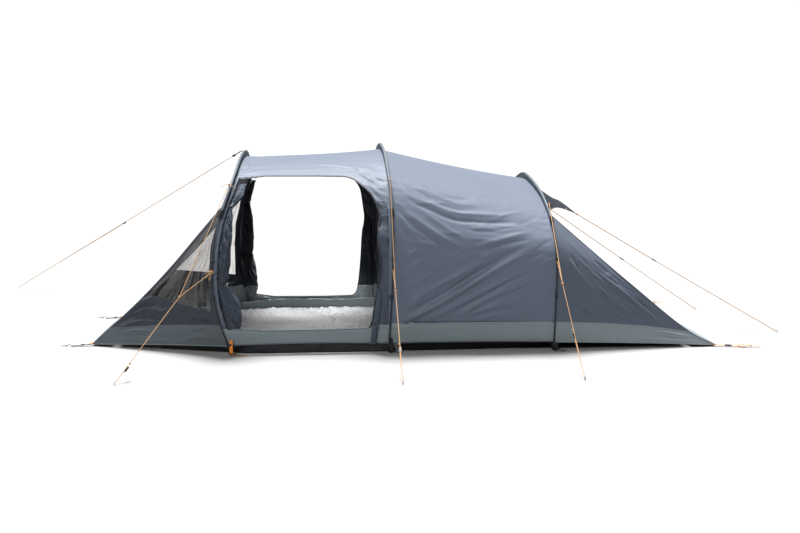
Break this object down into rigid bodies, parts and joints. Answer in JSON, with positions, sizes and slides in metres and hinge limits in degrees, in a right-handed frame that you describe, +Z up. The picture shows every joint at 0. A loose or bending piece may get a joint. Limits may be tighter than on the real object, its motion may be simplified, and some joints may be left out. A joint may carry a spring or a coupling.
{
  "type": "tunnel tent",
  "caption": "Hooped tunnel tent: porch with side doors, bedroom bay, tapering ends, vent hood, inner tent, groundsheet, guys and pegs.",
  "frame": {"origin": "on the ground on the centre plane, under the middle hoop, on the underside of the porch groundsheet", "axes": "+X along the tent to its rear (foot) end, +Y to the far door side, +Z up"},
  "size_m": [6.5888, 4.476, 1.629],
  "materials": {
    "fly_fabric": "coated ripstop-like polyester, satin, blue-grey",
    "door_fabric": "coated polyester, satin, darker blue-grey in its folds",
    "sleeve_fabric": "woven polyester, matt",
    "window_film": "clear flexible film, glossy",
    "pole_fibreglass": "black fibreglass rod, satin",
    "inner_fabric": "light breathable polyester, matt grey",
    "groundsheet": "silver-grey woven polyethylene sheet, semi-gloss",
    "guy_line": "braided orange cord",
    "black_plastic": "moulded black plastic",
    "peg_steel": "plated steel wire",
    "webbing_black": "woven black webbing",
    "webbing_orange": "woven orange webbing"
  },
  "bodies": {
    "tent": {"mid_pole": "pole_fibreglass", "mid_pin_near": "peg_steel", "mid_pin_far": "peg_steel", "mid_sleeve": "sleeve_fabric", "fly_porch": "fly_fabric", "fly_bedroom": "fly_fabric", "inner_tent": "inner_fabric", "porch_groundsheet": "groundsheet", "guy_mid_near": "guy_line", "peg_mid_near": "peg_steel", "guy_mid_far": "guy_line", "peg_mid_far": "peg_steel"},
    "front_hoop": {"front_pole": "pole_fibreglass", "front_pin_near": "peg_steel", "front_pin_far": "peg_steel", "front_sleeve": "sleeve_fabric", "fly_front_end": "fly_fabric", "window_near": "window_film", "window_far": "window_film", "door_near_rolled": "door_fabric", "door_far_rolled": "door_fabric", "guy_front_near": "guy_line", "peg_front_near": "peg_steel", "guy_front_far": "guy_line", "peg_front_far": "peg_steel", "guy_front_top": "guy_line", "peg_front_top": "peg_steel", "strap_front_near": "webbing_black", "peg_corner_front_near": "peg_steel", "strap_front_far": "webbing_black", "peg_corner_front_far": "peg_steel"},
    "rear_hoop": {"rear_pole": "pole_fibreglass", "rear_pin_near": "peg_steel", "rear_pin_far": "peg_steel", "rear_sleeve": "sleeve_fabric", "fly_rear_end": "fly_fabric", "guy_rear_near": "guy_line", "peg_rear_near": "peg_steel", "guy_rear_far": "guy_line", "peg_rear_far": "peg_steel", "guy_hood_near": "guy_line", "peg_hood_near": "peg_steel", "guy_hood_far": "guy_line", "peg_hood_far": "peg_steel", "strap_rear_near": "webbing_orange", "peg_corner_rear_near": "peg_steel", "strap_rear_far": "webbing_orange", "peg_corner_rear_far": "peg_steel"},
    "vent_hood": {"vent_hood": "fly_fabric"},
    "runner_front_near": {"runner_front_near": "black_plastic"},
    "runner_front_far": {"runner_front_far": "black_plastic"},
    "runner_mid_near": {"runner_mid_near": "black_plastic"},
    "runner_mid_far": {"runner_mid_far": "black_plastic"},
    "runner_rear_near": {"runner_rear_near": "black_plastic"},
    "runner_rear_far": {"runner_rear_far": "black_plastic"},
    "runner_front_top": {"runner_front_top": "black_plastic"},
    "runner_hood_near": {"runner_hood_near": "black_plastic"},
    "runner_hood_far": {"runner_hood_far": "black_plastic"},
    "zip_slider_near": {"zip_slider_near": "black_plastic"},
    "zip_slider_far": {"zip_slider_far": "black_plastic"}
  },
  "joints": [
    {"name": "front_hoop_walk", "type": "slide", "parent": "tent", "child": "front_hoop", "axis": [1, 0, 0], "range_m": [0, 0.55], "deforming": ["fly_porch", "porch_groundsheet"]},
    {"name": "hood_tilt", "type": "hinge", "parent": "rear_hoop", "child": "vent_hood", "pos_m": [1.17, 0, 1], "axis": [0, 1, 0], "range_deg": [0, 14]},
    {"name": "rear_hoop_walk", "type": "slide", "parent": "tent", "child": "rear_hoop", "axis": [-1, 0, 0], "range_m": [0, 0.7], "deforming": ["fly_bedroom", "inner_tent"]},
    {"name": "runner_slide_front_near", "type": "slide", "parent": "front_hoop", "child": "runner_front_near", "axis": [0.449, 0.6393, 0.6242], "range_m": [-0.072, 0.564]},
    {"name": "runner_slide_front_far", "type": "slide", "parent": "front_hoop", "child": "runner_front_far", "axis": [0.449, -0.6393, 0.6242], "range_m": [-0.072, 0.564]},
    {"name": "runner_slide_mid_near", "type": "slide", "parent": "tent", "child": "runner_mid_near", "axis": [0.0039, 0.7838, 0.621], "range_m": [-0.222, 0.451]},
    {"name": "runner_slide_mid_far", "type": "slide", "parent": "tent", "child": "runner_mid_far", "axis": [0.0039, -0.7838, 0.621], "range_m": [-0.222, 0.451]},
    {"name": "runner_slide_rear_near", "type": "slide", "parent": "rear_hoop", "child": "runner_rear_near", "axis": [-0.0545, 0.6401, 0.7664], "range_m": [-0.257, 0.344]},
    {"name": "runner_slide_rear_far", "type": "slide", "parent": "rear_hoop", "child": "runner_rear_far", "axis": [-0.0545, -0.6401, 0.7664], "range_m": [-0.257, 0.344]},
    {"name": "runner_slide_front_top", "type": "slide", "parent": "front_hoop", "child": "runner_front_top", "axis": [0.6521, -0.6619, 0.3696], "range_m": [-1.989, 1.582]},
    {"name": "runner_slide_hood_near", "type": "slide", "parent": "rear_hoop", "child": "runner_hood_near", "axis": [-0.8636, 0.0241, 0.5037], "range_m": [-1.083, 0.574]},
    {"name": "runner_slide_hood_far", "type": "slide", "parent": "rear_hoop", "child": "runner_hood_far", "axis": [-0.8266, -0.0989, 0.554], "range_m": [-0.794, 0.67]},
    {"name": "zip_slide_near", "type": "hinge", "parent": "tent", "child": "zip_slider_near", "pos_m": [-0.1, 0.2404, 0.5886], "axis": [-1, 0, 0], "range_deg": [0, 29]},
    {"name": "zip_slide_far", "type": "hinge", "parent": "tent", "child": "zip_slider_far", "pos_m": [-0.1, -0.2404, 0.5886], "axis": [1, 0, 0], "range_deg": [0, 29]}
  ]
}
